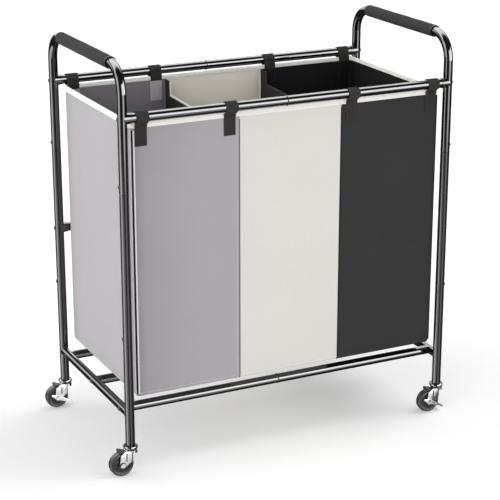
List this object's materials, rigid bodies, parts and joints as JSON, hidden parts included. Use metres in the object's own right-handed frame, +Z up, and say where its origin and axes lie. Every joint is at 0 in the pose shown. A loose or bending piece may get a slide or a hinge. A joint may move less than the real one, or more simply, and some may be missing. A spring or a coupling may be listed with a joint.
{
  "type": "laundry cart",
  "caption": "Rolling laundry sorter: a black tube frame with a padded hoop handle at each end, a hanging three-section cloth bag and swivel casters, two of them braked.",
  "frame": {"origin": "centre of the cart's outer box, on the floor; the tube frame's own centre is 15.8 mm further along +X, because the casters trail towards -X", "axes": "+Z up, +X along the cart towards the black section, -Y out of the front"},
  "size_m": [0.7764, 0.409, 0.8361],
  "materials": {
    "lacquered_tube": "glossy black lacquer over steel tube",
    "grip_foam": "dense matt foam sleeve with a fine grain",
    "grey_cloth": "plain-weave polyester cloth, matt",
    "cream_cloth": "plain-weave polyester cloth, matt",
    "black_cloth": "plain-weave polyester cloth, matt",
    "binding_tape": "folded cream binding tape",
    "strap_webbing": "hook-and-loop webbing",
    "base_board": "hardboard in a cloth sleeve",
    "zinc": "bright zinc plate",
    "tyre": "smooth dark grey tread and hub"
  },
  "bodies": {
    "root": {"left_handle_hoop": "lacquered_tube", "right_handle_hoop": "lacquered_tube", "front_left_post": "lacquered_tube", "front_right_post": "lacquered_tube", "back_left_post": "lacquered_tube", "back_right_post": "lacquered_tube", "left_lower_frame": "lacquered_tube", "right_lower_frame": "lacquered_tube", "front_top_rail_left": "lacquered_tube", "front_top_rail_right": "lacquered_tube", "back_top_rail_left": "lacquered_tube", "back_top_rail_right": "lacquered_tube", "back_middle_rail_left": "lacquered_tube", "back_middle_rail_right": "lacquered_tube", "front_bottom_rail_left": "lacquered_tube", "front_bottom_rail_right": "lacquered_tube", "middle_bottom_rail_left": "lacquered_tube", "middle_bottom_rail_right": "lacquered_tube", "back_bottom_rail_left": "lacquered_tube", "back_bottom_rail_right": "lacquered_tube", "left_grip": "grip_foam", "right_grip": "grip_foam", "front_left_caster_stem": "zinc", "front_right_caster_stem": "zinc", "back_left_caster_stem": "zinc", "back_right_caster_stem": "zinc", "grey_bag_section": "grey_cloth", "cream_bag_section": "cream_cloth", "black_bag_section": "black_cloth", "grey_base_board": "base_board", "cream_base_board": "base_board", "black_base_board": "base_board", "left_divider": "black_cloth", "right_divider": "black_cloth", "rim_binding": "binding_tape", "front_strap_1": "strap_webbing", "front_strap_2": "strap_webbing", "front_strap_3": "strap_webbing", "front_strap_4": "strap_webbing", "back_strap_1": "strap_webbing", "back_strap_2": "strap_webbing", "back_strap_3": "strap_webbing", "back_strap_4": "strap_webbing"},
    "front_left_caster": {"front_left_fork": "zinc", "front_left_axle": "zinc"},
    "front_left_wheel": {"front_left_wheel": "tyre"},
    "front_right_caster": {"front_right_fork": "zinc", "front_right_axle": "zinc"},
    "front_right_wheel": {"front_right_wheel": "tyre"},
    "front_right_brake": {"front_right_brake_lever": "zinc"},
    "back_left_caster": {"back_left_fork": "zinc", "back_left_axle": "zinc"},
    "back_left_wheel": {"back_left_wheel": "tyre"},
    "back_left_brake": {"back_left_brake_lever": "zinc"},
    "back_right_caster": {"back_right_fork": "zinc", "back_right_axle": "zinc"},
    "back_right_wheel": {"back_right_wheel": "tyre"}
  },
  "joints": [
    {"name": "front_left_swivel", "type": "hinge", "parent": "root", "child": "front_left_caster", "pos_m": [-0.34225, -0.1885, 0.05], "axis": [0, 0, 1], "continuous": true},
    {"name": "front_left_wheel_spin", "type": "hinge", "parent": "front_left_caster", "child": "front_left_wheel", "pos_m": [-0.36325, -0.1885, 0.025], "axis": [0, 1, 0], "continuous": true},
    {"name": "front_right_swivel", "type": "hinge", "parent": "root", "child": "front_right_caster", "pos_m": [0.37375, -0.1885, 0.05], "axis": [0, 0, 1], "continuous": true},
    {"name": "front_right_wheel_spin", "type": "hinge", "parent": "front_right_caster", "child": "front_right_wheel", "pos_m": [0.35275, -0.1885, 0.025], "axis": [0, 1, 0], "continuous": true},
    {"name": "front_right_brake_pedal", "type": "hinge", "parent": "front_right_caster", "child": "front_right_brake", "pos_m": [0.35275, -0.1885, 0.025], "axis": [0, 1, 0], "range_deg": [-22, 0]},
    {"name": "back_left_swivel", "type": "hinge", "parent": "root", "child": "back_left_caster", "pos_m": [-0.34225, 0.1885, 0.05], "axis": [0, 0, 1], "continuous": true},
    {"name": "back_left_wheel_spin", "type": "hinge", "parent": "back_left_caster", "child": "back_left_wheel", "pos_m": [-0.36325, 0.1885, 0.025], "axis": [0, 1, 0], "continuous": true},
    {"name": "back_left_brake_pedal", "type": "hinge", "parent": "back_left_caster", "child": "back_left_brake", "pos_m": [-0.36325, 0.1885, 0.025], "axis": [0, 1, 0], "range_deg": [-22, 0]},
    {"name": "back_right_swivel", "type": "hinge", "parent": "root", "child": "back_right_caster", "pos_m": [0.37375, 0.1885, 0.05], "axis": [0, 0, 1], "continuous": true},
    {"name": "back_right_wheel_spin", "type": "hinge", "parent": "back_right_caster", "child": "back_right_wheel", "pos_m": [0.35275, 0.1885, 0.025], "axis": [0, 1, 0], "continuous": true}
  ]
}
